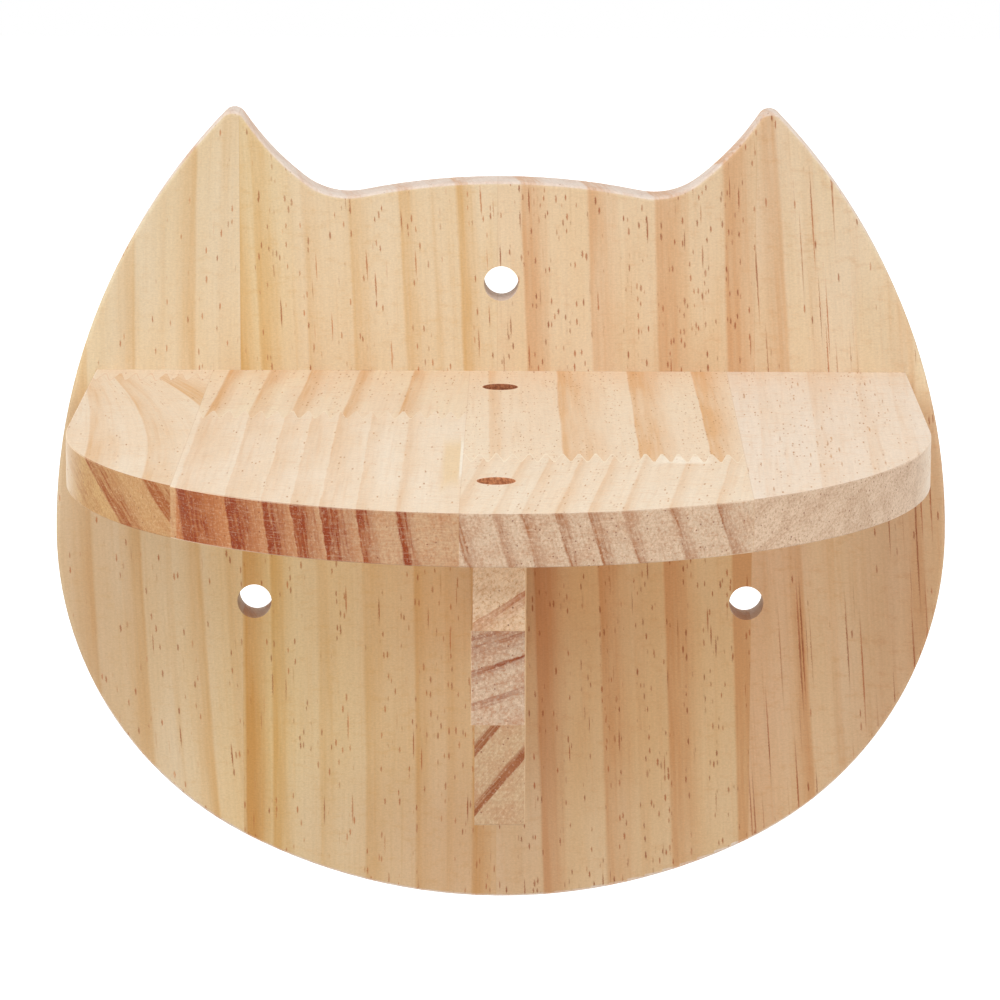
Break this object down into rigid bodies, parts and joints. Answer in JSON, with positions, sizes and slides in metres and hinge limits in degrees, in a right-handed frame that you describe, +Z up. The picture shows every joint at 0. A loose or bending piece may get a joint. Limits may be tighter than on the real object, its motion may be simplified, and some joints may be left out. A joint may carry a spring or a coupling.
{
  "type": "cat wall shelf",
  "caption": "Wall-hung climbing step for a cat: cat-head back plate in edge-glued pine, D-shaped shelf and an upright rib below it.",
  "frame": {"origin": "on the back face of the plate, on its centre line, at the level where the plate is widest", "axes": "+X to the right as seen from the room, +Y into the wall, +Z up"},
  "size_m": [0.3, 0.2576, 0.2697],
  "materials": {
    "plate_stave_left": "bare sanded pine",
    "plate_stave_centre_left": "bare sanded pine",
    "plate_stave_centre_right": "bare sanded pine",
    "plate_stave_right": "bare sanded pine",
    "shelf_stave_1_rear": "bare sanded pine",
    "shelf_stave_1_front": "bare sanded pine",
    "shelf_stave_2_rear": "bare sanded pine",
    "shelf_stave_2_front": "bare sanded pine",
    "shelf_stave_3_rear": "bare sanded pine",
    "shelf_stave_3_front": "bare sanded pine",
    "shelf_stave_4": "bare sanded pine",
    "rib_strip_upper": "bare sanded pine",
    "rib_strip_middle": "bare sanded pine",
    "rib_strip_lower": "bare sanded pine",
    "screw_steel": "zinc-plated, yellowish grey"
  },
  "bodies": {
    "root": {"plate_stave_left": "plate_stave_left", "plate_stave_centre_left": "plate_stave_centre_left", "plate_stave_centre_right": "plate_stave_centre_right", "plate_stave_right": "plate_stave_right", "shelf_stave_1_rear": "shelf_stave_1_rear", "shelf_stave_1_front": "shelf_stave_1_front", "shelf_stave_2_rear": "shelf_stave_2_rear", "shelf_stave_2_front": "shelf_stave_2_front", "shelf_stave_3_rear": "shelf_stave_3_rear", "shelf_stave_3_front": "shelf_stave_3_front", "shelf_stave_4": "shelf_stave_4", "rib_strip_upper": "rib_strip_upper", "rib_strip_middle": "rib_strip_middle", "rib_strip_lower": "rib_strip_lower", "shelf_screws": "screw_steel", "plate_screws": "screw_steel"}
  },
  "joints": []
}
